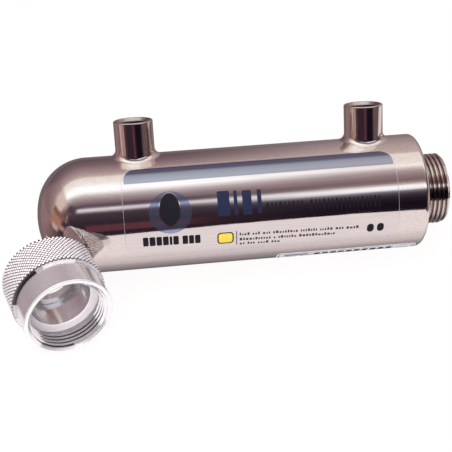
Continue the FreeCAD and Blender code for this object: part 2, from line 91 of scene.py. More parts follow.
class Build:
    """Collects vertices and faces in a piece's own frame, in millimetres."""

    def __init__(self):
        self.v, self.f = [], []

    def ring(self, s, r, n, phase=0.0):
        i0 = len(self.v)
        for k in range(n):
            a = 2 * math.pi * k / n + phase
            self.v.append((s, r * math.cos(a), r * math.sin(a)))
        return list(range(i0, i0 + n))

    def point(self, p):
        self.v.append(tuple(p))
        return len(self.v) - 1

    def bridge(self, a, b):
        n = len(a)
        for k in range(n):
            self.f.append((a[k], a[(k + 1) % n], b[(k + 1) % n], b[k]))

    def fan(self, c, ring):
        n = len(ring)
        for k in range(n):
            self.f.append((c, ring[k], ring[(k + 1) % n]))

    def lathe(self, profile, n=160, closed=True):
        rings = []
        for s, r in profile:
            rings.append([self.point((s, 0, 0))] if r < 1e-6 else self.ring(s, r, n))
        m = len(rings)
        for i in range(m if closed else m - 1):
            a, b = rings[i], rings[(i + 1) % m]
            if len(a) == 1 and len(b) == 1:
                continue
            if len(a) == 1:
                self.fan(a[0], b)
            elif len(b) == 1:
                self.fan(b[0], a)
            else:
                self.bridge(a, b)
        return rings

    def thread(self, s0, s1, pitch, radius, envelope, n=160, rows_at=None):
        """Helical thread surface between two rings, rows along the helix.

        radius(t) gives the thread's radius at the fraction t of a pitch and
        envelope(s, r) trims it.
        """
        rows_at = rows_at or [0, 0.125, 0.302, 0.479, 0.646, 0.823]
        K = len(rows_at)
        turns = int(math.ceil((s1 - s0) / pitch)) + 2
        rows = []
        for i in range(-K, turns * K):
            base = s0 + pitch * (i // K) + pitch * rows_at[i % K]
            row = []
            for k in range(n):
                s = base + pitch * k / n
                sc = min(max(s, s0), s1)
                t = ((sc - k * pitch / n - s0) / pitch) % 1.0 if sc != s else rows_at[i % K]
                r = envelope(sc, radius(t))
                a = 2 * math.pi * k / n
                row.append(self.point((sc, r * math.cos(a), r * math.sin(a))))
            rows.append(row)
        for j in range(len(rows) - 1):
            a, b = rows[j], rows[j + 1]
            for k in range(n - 1):
                self.f.append((a[k], a[k + 1], b[k + 1], b[k]))
            # the seam joins a row's end to the row one pitch further on
            if j + K + 1 < len(rows):
                c, d = rows[j + K], rows[j + K + 1]
                self.f.append((a[n - 1], c[0], d[0], b[n - 1]))

    def obj(self, name, frame_m, mat, sharp=32.0, weld=1e-4, smooth=True):
        bm = bmesh.new()
        vs = [bm.verts.new(p) for p in self.v]
        bm.verts.ensure_lookup_table()
        for f in self.f:
            ids = []
            for i in f:
                if not ids or vs[i] is not vs[ids[-1]]:
                    ids.append(i)
            if len(set(ids)) < 3:
                continue
            try:
                bm.faces.new([vs[i] for i in ids])
            except ValueError:
                pass
        bmesh.ops.remove_doubles(bm, verts=bm.verts, dist=weld)
        bmesh.ops.dissolve_degenerate(bm, edges=bm.edges, dist=weld)
        loose = [v for v in bm.verts if not v.link_faces]
        bmesh.ops.delete(bm, geom=loose, context="VERTS")
        bmesh.ops.recalc_face_normals(bm, faces=bm.faces)
        me = bpy.data.meshes.new(name)
        bm.to_mesh(me)
        bm.free()
        me.transform(frame_m)
        ob = bpy.data.objects.new(name, me)
        scene.collection.objects.link(ob)
        if mat:
            me.materials.append(mat)
        if smooth:
            me.polygons.foreach_set("use_smooth", [True] * len(me.polygons))
            me.set_sharp_from_angle(angle=math.radians(sharp))
        return ob


# ---------------------------------------------------------------- materials
def material(name):
    m = bpy.data.materials.new(name)
    m.use_nodes = True
    nt = m.node_tree
    nt.nodes.clear()
    out = nt.nodes.new("ShaderNodeOutputMaterial")
    bsdf = nt.nodes.new("ShaderNodeBsdfPrincipled")
    nt.links.new(bsdf.outputs[0], out.inputs[0])
    return m, nt, bsdf


def ramp(nt, stops, interp="LINEAR"):
    n = nt.nodes.new("ShaderNodeValToRGB")
    cr = n.color_ramp
    cr.interpolation = interp
    while len(cr.elements) > 1:
        cr.elements.remove(cr.elements[-1])
    for i, (p, c) in enumerate(stops):
        e = cr.elements[0] if i == 0 else cr.elements.new(p)
        e.position = p
        e.color = (c, c, c, 1) if isinstance(c, (int, float)) else (*c, 1)
    return n


def coords(nt, scale=(1, 1, 1), rot=(0, 0, 0), loc=(0, 0, 0)):
    tc = nt.nodes.new("ShaderNodeTexCoord")
    mp = nt.nodes.new("ShaderNodeMapping")
    mp.inputs["Scale"].default_value = scale
    mp.inputs["Rotation"].default_value = rot
    mp.inputs["Location"].default_value = loc
    nt.links.new(tc.outputs["Object"], mp.inputs["Vector"])
    return mp


def noise(nt, vec, scale, detail=3.0, rough=0.55, dist=0.0):
    n = nt.nodes.new("ShaderNodeTexNoise")
    n.inputs["Scale"].default_value = scale
    n.inputs["Detail"].default_value = detail
    n.inputs["Roughness"].default_value = rough
    n.inputs["Distortion"].default_value = dist
    nt.links.new(vec.outputs[0], n.inputs["Vector"])
    return n


def mix_rgb(nt, fac, a, b):
    n = nt.nodes.new("ShaderNodeMix")
    n.data_type = "RGBA"
    for sock, val in ((n.inputs[0], fac), (n.inputs[6], a), (n.inputs[7], b)):
        if hasattr(val, "is_linked") or hasattr(val, "links"):
            nt.links.new(val, sock)
        elif isinstance(val, (int, float)):
            sock.default_value = val
        else:
            sock.default_value = (*val, 1)
    return n


def bump(nt, height, strength, distance, bsdf):
    b = nt.nodes.new("ShaderNodeBump")
    b.inputs["Strength"].default_value = strength
    b.inputs["Distance"].default_value = distance
    nt.links.new(height, b.inputs["Height"])
    nt.links.new(b.outputs[0], bsdf.inputs["Normal"])
    return b


def metal(name, base, dark, rough_lo, rough_hi, streak=(6, 900, 900), streak_strength=0.05,
          mottle=260, coat=0.0, grain=None):
    """Polished or turned metal: colour mottling, roughness variation and fine lines."""
    m, nt, b = material(name)
    v = coords(nt)
    n1 = noise(nt, v, mottle, 4, 0.6) if grain is None else noise(nt, coords(nt, scale=grain), 1.0, 4, 0.65)
    sharp = ramp(nt, [(0.32, 0.0), (0.68, 1.0)])
    nt.links.new(n1.outputs["Fac"], sharp.inputs[0])
    col = mix_rgb(nt, sharp.outputs[0], dark, base)
    nt.links.new(col.outputs[2], b.inputs["Base Color"])
    v2 = coords(nt, scale=streak)
    n2 = noise(nt, v2, 1.0, 3, 0.6)
    r = ramp(nt, [(0.3, rough_lo), (0.7, rough_hi)])
    nt.links.new(n2.outputs["Fac"], r.inputs[0])
    nt.links.new(r.outputs[0], b.inputs["Roughness"])
    bump(nt, n2.outputs["Fac"], streak_strength, 0.0002, b)
    b.inputs["Metallic"].default_value = 1.0
    b.inputs["Coat Weight"].default_value = coat
    return m


STEEL = metal("polished_stainless", (0.87, 0.775, 0.74), (0.76, 0.67, 0.63), 0.05, 0.10,
              streak=(30, 1500, 1500), streak_strength=0.03, grain=(500, 1100, 1100))
STEEL_PORT = metal("polished_stainless_port", (0.86, 0.765, 0.73), (0.76, 0.67, 0.63), 0.05, 0.09,
                   streak=(900, 900, 60), streak_strength=0.05, grain=(700, 700, 120))
# darker steel for the socket's mouth chamfer: painted shade
STEEL_MOUTH = metal("port_mouth_painted_shade_steel", (0.60, 0.53, 0.52), (0.48, 0.42, 0.42), 0.12, 0.20,
                    streak=(900, 900, 900), streak_strength=0.05)
FILM = metal("clear_film_on_steel", (0.825, 0.738, 0.718), (0.745, 0.66, 0.64), 0.05, 0.08,
             streak=(60, 600, 600), streak_strength=0.03, coat=0.1, grain=(60, 900, 900))


def aluminium(name, base, dark, rough_lo, rough_hi, metallic, streak=(2500, 2500, 2500), strength=0.05):
    m = metal(name, base, dark, rough_lo, rough_hi, streak=streak, streak_strength=strength, mottle=500)
    for n in m.node_tree.nodes:
        if n.type == "BSDF_PRINCIPLED":
            n.inputs["Metallic"].default_value = metallic
            n.inputs["Specular IOR Level"].default_value = 0.3
    return m


ALU = aluminium("turned_aluminium", (0.86, 0.83, 0.845), (0.82, 0.79, 0.805), 0.20, 0.26, 0.84,
                streak=(1800, 90, 90), strength=0.015)
# knurl flats near-white and almost unmetallic: painted highlight; knurl sides darker: painted shade
KNURL = aluminium("knurl_flat_painted_highlight_aluminium", (0.99, 0.965, 0.98), (0.93, 0.905, 0.92), 0.20, 0.30, 0.15, strength=0.03)
KNURL_SIDE = aluminium("knurl_groove_painted_shade_aluminium", (0.74, 0.67, 0.695), (0.54, 0.48, 0.50), 0.16, 0.24, 0.86)
# darker aluminium for the nut's thread roots: painted shade
NUT_VALLEY = aluminium("thread_root_painted_shade_aluminium", (0.24, 0.205, 0.225), (0.15, 0.125, 0.14), 0.14, 0.22, 0.92)
# shoulder sectors by angle round the nut: near-black, brighter and darker copies of the aluminium, painted shade and
# painted highlight
NUT_GROOVE = aluminium("shoulder_painted_shade_aluminium", (0.13, 0.11, 0.12), (0.08, 0.07, 0.075), 0.25, 0.35, 0.85)
NUT_FACE = aluminium("shoulder_painted_highlight_aluminium", (0.88, 0.85, 0.865), (0.80, 0.77, 0.785), 0.20, 0.30, 0.30)
NUT_FACE_MID = aluminium("shoulder_darker_painted_shade_aluminium", (0.68, 0.64, 0.66), (0.58, 0.54, 0.56), 0.22, 0.32, 0.45)
# darker aluminium for the undercut: painted shade; brighter, less metallic aluminium for the front rim and the
# near-white ledge: painted highlight
NUT_DARK = aluminium("undercut_painted_shade_aluminium", (0.46, 0.42, 0.44), (0.34, 0.31, 0.33), 0.30, 0.45, 0.70)
NUT_RIM = aluminium("rim_painted_highlight_aluminium", (0.96, 0.95, 0.96), (0.90, 0.89, 0.90), 0.12, 0.20, 0.62)
NUT_LEDGE = aluminium("ledge_painted_highlight_aluminium", (1.0, 0.95, 0.985), (0.97, 0.92, 0.955), 0.28, 0.38, 0.05)
NUT_BORE = aluminium("bored_aluminium", (0.88, 0.85, 0.87), (0.80, 0.77, 0.79), 0.12, 0.20, 0.82)
# brighter aluminium for the nut's thread: painted highlight
NUT_THREAD = aluminium("thread_painted_highlight_aluminium", (0.98, 0.95, 0.97), (0.92, 0.89, 0.91), 0.08, 0.14, 0.74)
# near-black steel for the socket's threaded bore: painted shade
BORE_DARK = metal("threaded_bore_painted_shade_steel", (0.12, 0.095, 0.10), (0.07, 0.055, 0.06), 0.22, 0.32,
                  streak=(900, 900, 900), streak_strength=0.05)
# darker steel for the neck's thread valleys: painted shade
VALLEY = metal("thread_valley_painted_shade_steel", (0.34, 0.26, 0.24), (0.24, 0.18, 0.165), 0.12, 0.20,
               streak=(900, 900, 900), streak_strength=0.05)
SPRING = metal("drawn_spring_steel", (0.66, 0.65, 0.65), (0.55, 0.54, 0.54), 0.15, 0.3,
               streak=(700, 700, 700), streak_strength=0.08)
NICKEL = metal("nickel_plate", (0.78, 0.75, 0.70), (0.70, 0.67, 0.62), 0.12, 0.22)
TUNGSTEN = metal("tungsten_wire", (0.42, 0.41, 0.42), (0.30, 0.29, 0.30), 0.3, 0.5)


def dielectric(name, base, dark, rough=(0.4, 0.6), scale=400, bump_strength=0.1, bump_dist=0.0002,
               spec=0.5, coat=0.0, sss=0.0):
    m, nt, b = material(name)
    v = coords(nt)
    n1 = noise(nt, v, scale, 5, 0.6)
    col = mix_rgb(nt, n1.outputs["Fac"], dark, base)
    nt.links.new(col.outputs[2], b.inputs["Base Color"])
    r = ramp(nt, [(0.3, rough[0]), (0.7, rough[1])])
    nt.links.new(n1.outputs["Fac"], r.inputs[0])
    nt.links.new(r.outputs[0], b.inputs["Roughness"])
    n2 = noise(nt, v, scale * 4, 3, 0.5)
    bump(nt, n2.outputs["Fac"], bump_strength, bump_dist, b)
    b.inputs["Specular IOR Level"].default_value = spec
    b.inputs["Coat Weight"].default_value = coat
    b.inputs["Subsurface Weight"].default_value = sss
    b.inputs["Subsurface Scale"].default_value = 0.002
    return m


RUBBER = dielectric("black_rubber", (0.03, 0.03, 0.032), (0.015, 0.015, 0.016), (0.45, 0.65), 900, 0.3)
CERAMIC = dielectric("white_ceramic", (0.86, 0.85, 0.82), (0.78, 0.77, 0.74), (0.35, 0.55), 700, 0.15, sss=0.1)
SILICONE = dielectric("silicone_ring", (0.78, 0.76, 0.72), (0.70, 0.68, 0.64), (0.35, 0.5), 600, 0.1, sss=0.25)
LEAD = dielectric("woven_lead_sleeving", (0.88, 0.87, 0.84), (0.74, 0.73, 0.70), (0.6, 0.8), 1500, 0.5)
PAPER = dielectric("white_label_film", (0.80, 0.79, 0.84), (0.74, 0.73, 0.78), (0.25, 0.4), 300, 0.05, coat=0.1)
INK = dielectric("label_ink_dark", (0.010, 0.009, 0.014), (0.006, 0.005, 0.009), (0.45, 0.6), 900, 0.03, spec=0.15)
INK_BLUE = dielectric("label_ink_blue", (0.014, 0.018, 0.050), (0.009, 0.012, 0.036), (0.4, 0.55), 900, 0.03,
                      spec=0.2)
INK_GREY = dielectric("label_ink_grey", (0.050, 0.045, 0.055), (0.032, 0.028, 0.036), (0.45, 0.6), 900, 0.03,
                      spec=0.2)
YELLOW = dielectric("label_ink_yellow", (0.74, 0.58, 0.085), (0.66, 0.50, 0.06), (0.4, 0.55), 900, 0.03, spec=0.2)


def tinted_metal(name, base, dark, rough, metallic=0.9):
    m, nt, b = material(name)
    v = coords(nt, scale=(40, 400, 400))
    n1 = noise(nt, v, 1.0, 3, 0.6)
    col = mix_rgb(nt, n1.outputs["Fac"], dark, base)
    nt.links.new(col.outputs[2], b.inputs["Base Color"])
    r = ramp(nt, [(0.3, rough), (0.7, rough + 0.04)])
    nt.links.new(n1.outputs["Fac"], r.inputs[0])
    nt.links.new(r.outputs[0], b.inputs["Roughness"])
    b.inputs["Metallic"].default_value = metallic
    bump(nt, n1.outputs["Fac"], 0.02, 0.0002, b)
    return m, nt, b, n1


PANEL = tinted_metal("smoky_blue_ink", (0.33, 0.36, 0.52), (0.30, 0.33, 0.48), 0.08, 0.94)[0]
FILM_EDGE = tinted_metal("film_edge", (0.70, 0.63, 0.61), (0.64, 0.57, 0.56), 0.32, 0.85)[0]


def stripe_ink():
    """Smoky stripe that darkens towards its upper edge, by angle round the tube."""
    m, nt, b, n1 = tinted_metal("smoky_stripe_ink", (0, 0, 0), (0, 0, 0), 0.10, 0.96)
    tc = nt.nodes.new("ShaderNodeTexCoord")
    sp = nt.nodes.new("ShaderNodeSeparateXYZ")
    nt.links.new(tc.outputs["Object"], sp.inputs[0])

    def mt(op, a, c):
        n = nt.nodes.new("ShaderNodeMath")
        n.operation = op
        for i, v in enumerate((a, c)):
            if isinstance(v, (int, float)):
                n.inputs[i].default_value = v
            else:
                nt.links.new(v, n.inputs[i])
        return n.outputs[0]
    ang = mt("ARCTAN2", mt("SUBTRACT", sp.outputs[2], AX_Z / 1000), mt("SUBTRACT", AX_Y / 1000, sp.outputs[1]))
    ang = mt("ADD", ang, mt("MULTIPLY", mt("SUBTRACT", n1.outputs["Fac"], 0.5), 0.012))
    f = mt("DIVIDE", mt("SUBTRACT", ang, math.radians(60)), math.radians(24))

    def st(al, c):
        return ((al + math.degrees(LEAN) - 60) / 24, c)
    r = ramp(nt, [st(42, (0.33, 0.325, 0.40)), st(46, (0.355, 0.365, 0.43)), st(50, (0.31, 0.325, 0.40)),
                  st(51.4, (0.27, 0.285, 0.36)), st(52.8, (0.165, 0.172, 0.235)), st(54.2, (0.115, 0.115, 0.17)),
                  st(56.0, (0.165, 0.17, 0.27)), st(58.8, (0.125, 0.115, 0.18))])
    nt.links.new(f, r.inputs[0])
    nt.links.new(r.outputs[0], b.inputs["Base Color"])
    return m


STRIPE = stripe_ink()


def glass(name, tint, rough=0.02):
    m, nt, b = material(name)
    v = coords(nt, scale=(20, 300, 300))
    n1 = noise(nt, v, 1.0, 2, 0.5)
    r = ramp(nt, [(0.3, rough), (0.7, rough + 0.03)])
    nt.links.new(n1.outputs["Fac"], r.inputs[0])
    nt.links.new(r.outputs[0], b.inputs["Roughness"])
    col = mix_rgb(nt, n1.outputs["Fac"], tuple(c * 0.97 for c in tint), tint)
    nt.links.new(col.outputs[2], b.inputs["Base Color"])
    bump(nt, n1.outputs["Fac"], 0.02, 0.0002, b)
    b.inputs["Transmission Weight"].default_value = 1.0
    b.inputs["IOR"].default_value = 1.46
    return m


QUARTZ = glass("clear_quartz", (0.94, 0.98, 1.0))
LAMP_GLASS = glass("lamp_glass_clear", (0.95, 0.97, 1.0), 0.03)

PIECES = []


def add(ob, body, *nodes, slot=None):
    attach(ob, body)
    if nodes:
        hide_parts(*nodes)
    PIECES.append(ob)
    return ob


# -------------------------------------------------------------- dished end
def dish(off):
    rc0 = (3.4 ** 2 + 22.5 ** 2 - 22.0 ** 2) / (2 * 0.5)
    rc, rk = rc0 - off, 22.0 - off
    ang = math.degrees(math.atan2(3.4, rc0 - 22.5))
    crown = [(rc0 - rc * math.cos(math.radians(a)), rc * math.sin(math.radians(a)))
             for a in np.linspace(0, ang, 16)]
    knuckle = [(22.5 - rk * math.cos(math.radians(a)), 3.4 + rk * math.sin(math.radians(a)))
               for a in np.linspace(ang, 90, 60)]
    crown[0] = (rc0 - rc, 0.0)
    return crown + knuckle[1:]


b = Build()
b.lathe(dish(0) + list(reversed(dish(1.5))), n=200, closed=True)
add(b.obj("dished_end", CH, STEEL), "chamber", "dome_end", slot="polished_stainless")

# ------------------------------------------------- tube with drawn collars
NTH = 160          # steps round the tube
PORTS = (44.5, 145.5)
T0, T1 = 22.5, 163.5
HALF = 16          # half the patch, in steps round the tube
HX = 15.5          # half the patch along the tube, mm


def skin(b, rad, hole, inward=False):
    """Cylinder of radius rad with a hole round each port; hole(phi) gives the
    rim of the hole as (x offset, angle), and its rim vertices are returned."""
    xs = []

    def span(a, c, n):
        for i in range(n):
            xs.append(a + (c - a) * i / n)

    NX = 2 * HALF
    span(T0, PORTS[0] - HX, 3)
    ia = len(xs)
    span(PORTS[0] - HX, PORTS[0] + HX, NX)
    span(PORTS[0] + HX, PORTS[1] - HX, 34)
    ib = len(xs)
    span(PORTS[1] - HX, PORTS[1] + HX, NX)
    span(PORTS[1] + HX, T1, 2)
    xs.append(T1)
    ids = {}

    def vid(i, k):
        key = (i, k % NTH)
        if key not in ids:
            a = 2 * math.pi * k / NTH   # angle from the port direction
            ids[key] = b.point((xs[i], rad * math.sin(a), rad * math.cos(a)))
        return ids[key]

    for i in range(len(xs) - 1):
        for k in range(-NTH // 2, NTH // 2):
            inside = -HALF <= k < HALF and (ia <= i < ia + NX or ib <= i < ib + NX)
            if not inside:
                b.f.append((vid(i, k), vid(i + 1, k), vid(i + 1, k + 1), vid(i, k + 1)))
    rims = []
    for i0, px in ((ia, PORTS[0]), (ib, PORTS[1])):
        loop = [(i0 + j, -HALF) for j in range(NX)] + [(i0 + NX, -HALF + j) for j in range(NX)] + \
               [(i0 + NX - j, HALF) for j in range(NX)] + [(i0, HALF - j) for j in range(NX)]
        da = 2 * math.pi / NTH
        outer = [vid(i, k) for i, k in loop]
        outer_uv = [(xs[i] - px, k * da) for i, k in loop]
        # the rim's own angle is spread evenly, so the grid stays even
        inner_uv, phis = [], []
        for u, v in outer_uv:
            phi = math.atan2(v * rad, u)
            phis.append(phi)
            inner_uv.append(hole(phi))
        prev = outer
        M = 12
        for m in range(1, M + 1):
            t = 1 - (1 - m / M) ** 1.35
            row = []
            for (u0, v0), (u1, v1) in zip(outer_uv, inner_uv):
                u, v = u0 + (u1 - u0) * t, v0 + (v1 - v0) * t
                row.append(b.point((px + u, rad * math.sin(v), rad * math.cos(v))))
            b.bridge(prev, row)
            prev = row
        rims.append((px, phis, prev))
    return rims


PR, FIL, CTOP, CBORE = 8.5, 3.0, 30.4, 6.6


def blend_rim(phi):
    cx, cy = (PR + FIL) * math.cos(phi), (PR + FIL) * math.sin(phi)
    cz = math.sqrt((R + FIL) ** 2 - cy ** 2)
    return cx, math.asin(cy / (R + FIL))


def bore_rim(phi):
    return CBORE * math.cos(phi), math.asin(CBORE * math.sin(phi) / (R - 1.5))


b = Build()
for px, phis, rim in skin(b, R, blend_rim):
    rows = [rim]
    ST = 16
    for m in range(1, ST + 1):
        row = []
        for phi in phis:
            c = Vector(((PR + FIL) * math.cos(phi), (PR + FIL) * math.sin(phi), 0))
            c.z = math.sqrt((R + FIL) ** 2 - c.y ** 2)
            d0 = (Vector((c.x, c.y * R / (R + FIL), c.z * R / (R + FIL))) - c).normalized()
            d1 = Vector((-math.cos(phi), -math.sin(phi), 0))
            w = d0.angle(d1)
            t = m / ST
            d = (d0 * math.sin((1 - t) * w) + d1 * math.sin(t * w)) / math.sin(w)
            p = c + d * FIL
            row.append(b.point((px + p.x, p.y, p.z)))
        b.bridge(rows[-1], row)
        rows.append(row)
    tops = []
    for z_off in (0.3, None):
        row = []
        for j, phi in enumerate(phis):
            z = CTOP if z_off is None else b.v[rows[-1][j]][2] + z_off * (CTOP - b.v[rows[-1][j]][2])
            row.append(b.point((px + PR * math.cos(phi), PR * math.sin(phi), z)))
        b.bridge(rows[-1], row)
        rows.append(row)
    rim_in = [b.point((px + CBORE * math.cos(p), CBORE * math.sin(p), CTOP)) for p in phis]
    b.bridge(rows[-1], rim_in)
    low = [b.point((px + CBORE * math.cos(p), CBORE * math.sin(p),
                    math.sqrt((R - 1.5) ** 2 - (CBORE * math.sin(p)) ** 2))) for p in phis]
    b.bridge(rim_in, low)
skin(b, R - 1.5, bore_rim)
for s in (T0, T1):
    o_ = [b.point((s, R * math.sin(2 * math.pi * k / NTH), R * math.cos(2 * math.pi * k / NTH))) for k in range(NTH)]
    i_ = [b.point((s, (R - 1.5) * math.sin(2 * math.pi * k / NTH), (R - 1.5) * math.cos(2 * math.pi * k / NTH)))
          for k in range(NTH)]
    b.bridge(o_, i_)
add(b.obj("drawn_tube", CH, STEEL, sharp=30), "chamber", "chamber_tube", slot="polished_stainless")


# ------------------------------------------------------------------ sockets
def thread_radius(crest, root):
    """Sixty-degree thread: flat crest, flank, flat root, flank."""
    def f(t):
        t %= 1.0
        if t <= 0.125:
            return crest
        if t < 0.479:
            return crest + (root - crest) * (t - 0.125) / 0.354
        if t <= 0.646:
            return root
        return root + (crest - root) * (t - 0.646) / 0.354
    return f


UPRIGHT = Matrix(((0, 1, 0, 0), (0, 0, 1, 0), (1, 0, 0, 0), (0, 0, 0, 1)))   # lathe x -> z
for name, node, px in (("inlet_socket", "inlet_port", 44.5), ("outlet_socket", "outlet_port", 145.5)):
    b = Build()
    e = 0.52
    prof = [(30.4, 6.35), (30.4, 8.5)] + arc(40.6 - e, 8.5 - e, e, 90, 0, 10) + \
           [(40.6, 7.62)] + arc(40.6 - 0.12, 7.62, 0.12, 0, -45, 3)[1:] + [(39.3, 6.30)]
    b.lathe(supported(prof, closed=False), n=128, closed=False)

    # internal thread from the chamfer at the mouth down to the collar
    def env(s, r):
        if s > 38.4:
            r = max(r, min(6.30, 5.8 + (s - 38.8)))
        if s < 31.2:
            r = max(r, 6.35 - (s - 30.4) * 0.55 / 0.8)
        return r
    b.thread(30.4, 39.3, 1.337, thread_radius(5.8, 6.6), env, n=128)
    socket = b.obj(name, CH @ Matrix.Translation((px, 0, 0)) @ UPRIGHT, STEEL_PORT, sharp=35)
    socket.data.materials.append(STEEL_MOUTH)
    socket.data.materials.append(BORE_DARK)
    for p in socket.data.polygons:
        c = CH.inverted() @ p.center
        r_ = math.hypot(c.x - px, c.y)
        if r_ < 7.58 and c.z > 30.6:
            # mouth chamfer and threaded bore take darker steel: painted shade inside the socket
            p.material_index = 1 if c.z > 39.32 else 2
    add(socket, "chamber", node, slot="polished_stainless")

# ------------------------------------------------------------------ end cap
E = 2.4
prof = [(163.5, R)] + [(x, y) for x, y in arc(FACE - E, R - E, E, 90, 0, 40)] + \
       [(FACE, 14.0), (FACE - 1.5, 14.0)] + arc(FACE - E, R - E, E - 1.5, 0, 90, 12) + [(163.5, R - 1.5)]
b = Build()
b.lathe(supported(prof), n=200)
add(b.obj("pressed_end_cap", CH, STEEL), "chamber", "end_cap", slot="polished_stainless")

# --------------------------------------------------------------------- neck
b = Build()
back = [(FACE, 14.62), (FACE, 14.0), (FACE - 3, 14.0), (FACE - 3, 12.2), (MOUTH - 2.3, 12.2),
        (MOUTH, 14.1), (MOUTH, 14.55)]
b.lathe(supported(back, closed=False), n=160, closed=False)


def neck_env(s, r):
    if s < FACE + 1.3:
        return min(r, 14.62)
    if s < FACE + 1.6:
        return min(r, 14.62 + (s - FACE - 1.3) * 4)
    if s > MOUTH - 1.2:
        return min(r, 15.75 - (s - MOUTH + 1.2))
    return r


b.thread(FACE, MOUTH, 2.0, thread_radius(15.75, 14.55), neck_env, n=160)
neck = b.obj("neck_with_thread", CH, STEEL_PORT, sharp=25)
neck.data.materials.append(VALLEY)
inv = CH.inverted()
for p in neck.data.polygons:
    c = inv @ p.center
    if FACE + 0.1 < c.x < MOUTH - 0.9 and 14.3 < math.hypot(c.y, c.z) < 15.2:
        # thread valleys take darker steel: painted shade
        p.material_index = 1
add(neck, "chamber", "threaded_neck", slot="polished_stainless")


# ------------------------------------------------------------------- labels
def wrapped(name, rows, r0, r1, mat, into=None):
    """Thin closed piece wrapped on the tube: rows are (angle up from the front
    in degrees, left station, right station). With a build given, the piece
    joins it and no object is made yet."""
    b = into or Build()
    fine = []
    for (a0, l0, q0), (a1, l1, q1) in zip(rows, rows[1:]):
        m = max(1, int(math.ceil(abs(a1 - a0) / 1.5)))
        for i in range(m):
            t = i / m
            fine.append((a0 + (a1 - a0) * t, l0 + (l1 - l0) * t, q0 + (q1 - q0) * t))
    fine.append(rows[-1])

    def pt(s, a, r):
        a = math.radians(a)
        return b.point((s, -r * math.cos(a), r * math.sin(a)))
    prev = None
    cols = 6
    for a, l, q in fine:
        row_t = [pt(l + (q - l) * c / cols, a, r1) for c in range(cols + 1)]
        row_b = [pt(l + (q - l) * c / cols, a, r0) for c in range(cols + 1)]
        if prev:
            pt_, pb_ = prev
            for c in range(cols):
                b.f.append((pt_[c], pt_[c + 1], row_t[c + 1], row_t[c]))
                b.f.append((pb_[c], row_b[c], row_b[c + 1], pb_[c + 1]))
            b.f.append((pt_[0], row_t[0], row_b[0], pb_[0]))
            b.f.append((pt_[-1], pb_[-1], row_b[-1], row_t[-1]))
        else:
            for c in range(cols):
                b.f.append((row_t[c], row_t[c + 1], row_b[c + 1], row_b[c]))
        prev = (row_t, row_b)
    for c in range(cols):
        b.f.append((prev[0][c], prev[1][c], prev[1][c + 1], prev[0][c + 1]))
    return None if into else b.obj(name, CH, mat, sharp=40, weld=1e-5)


def rounded(s0, s1, a0, a1, rad, top=True, bottom=True, n=10):
    """Rows of a rectangle with rounded corners; a0 is the lower edge."""
    k = 180 / (math.pi * R)
    rows = []
    lo_c = [(a0 + rad * k * (1 - math.cos(t)), rad * (1 - math.sin(t)))
            for t in np.linspace(0, math.pi / 2, n)] if bottom else [(a0, 0)]
    hi_c = [(a1 - rad * k * (1 - math.cos(t)), rad * (1 - math.sin(t)))
            for t in np.linspace(math.pi / 2, 0, n)] if top else [(a1, 0)]
    for a, d in lo_c + hi_c:
        rows.append((float(a), s0 + float(d), s1 - float(d)))
    return rows


FS0, FS1 = 37.3, 154.5
fl, fh = -34.6, 61.0
R_IN, R_TOP = R + 0.08, R + 0.10
add(wrapped("front_film", rounded(FS0, FS1, fl, fh, 7.0), R + 0.005, R + 0.093, FILM), "chamber",
    "front_label", slot="clear_film")


def line_round(name, s0, s1, a0, a1, rad, width, mat, slot="clear_film", n=10):
    """Thin closed outline along a rounded rectangle on the tube."""
    k = 180 / (math.pi * R)

    def path(d):
        """Corner by corner, inset by d millimetres."""
        pts = []
        q = max(rad - d, 0.05)
        for cs, ca, t0 in ((s1 - rad, a0 + rad * k, -90), (s1 - rad, a1 - rad * k, 0),
                           (s0 + rad, a1 - rad * k, 90), (s0 + rad, a0 + rad * k, 180)):
            for i in range(n + 1):
                t = math.radians(t0 + 90 * i / n)
                pts.append((cs + q * math.cos(t), ca + q * k * math.sin(t)))
        out = []
        for i, p in enumerate(pts):
            q2 = pts[(i + 1) % len(pts)]
            m = max(1, int(max(abs(q2[1] - p[1]) / 2.0, abs(q2[0] - p[0]) / 8.0)))
            out += [(p[0] + (q2[0] - p[0]) * j / m, p[1] + (q2[1] - p[1]) * j / m) for j in range(m)]
        return out
    b = Build()
    oa, ob = path(0.0), path(width)
    if len(oa) != len(ob):
        m = min(len(oa), len(ob))
        oa, ob = oa[:m], ob[:m]

    def ringat(path_, r):
        ids = []
        for s_, a_ in path_:
            t = math.radians(a_)
            ids.append(b.point((s_, -r * math.cos(t), r * math.sin(t))))
        return ids
    r1, r2, r3, r4 = ringat(oa, R_TOP), ringat(ob, R_TOP), ringat(ob, R_IN), ringat(oa, R_IN)
    b.bridge(r1, r2)
    b.bridge(r2, r3)
    b.bridge(r3, r4)
    b.bridge(r4, r1)
    return add(b.obj(name, CH, mat, sharp=40, weld=1e-6), "chamber", slot=slot)


line_round("film_border", FS0, FS1, fl, fh, 7.0, 0.22, FILM_EDGE)
stripe = rounded(38.5, 153.8, 42.1, 58.9, 5.5, bottom=False)
add(wrapped("film_stripe", stripe, R_IN, R_TOP, STRIPE), "chamber", slot="clear_film")
PLATE_ROWS = rounded(102.5, 165.3, -103.6, -52.4, 2.0)
add(wrapped("rating_film", PLATE_ROWS, R + 0.005, R + 0.093, PAPER), "chamber", "rating_label", slot="white_film")
line_round("rating_border", 103.4, 164.4, -102.0, -54.0, 1.4, 0.4, INK_GREY, slot="white_film")

RNG = np.random.RandomState(7)


def bar(name, s0, s1, a0, a1, mat, rad=0.4, r1=R_TOP, slot="clear_film"):
    a0, a1 = min(a0, a1), max(a0, a1)
    rad = min(rad, (s1 - s0) / 2.05, (a1 - a0) * math.pi * R / 180 / 2.05)
    return add(wrapped(name, rounded(s0, s1, a0, a1, rad, n=5), R_IN, r1, mat), "chamber", slot=slot)


MARKS = {}


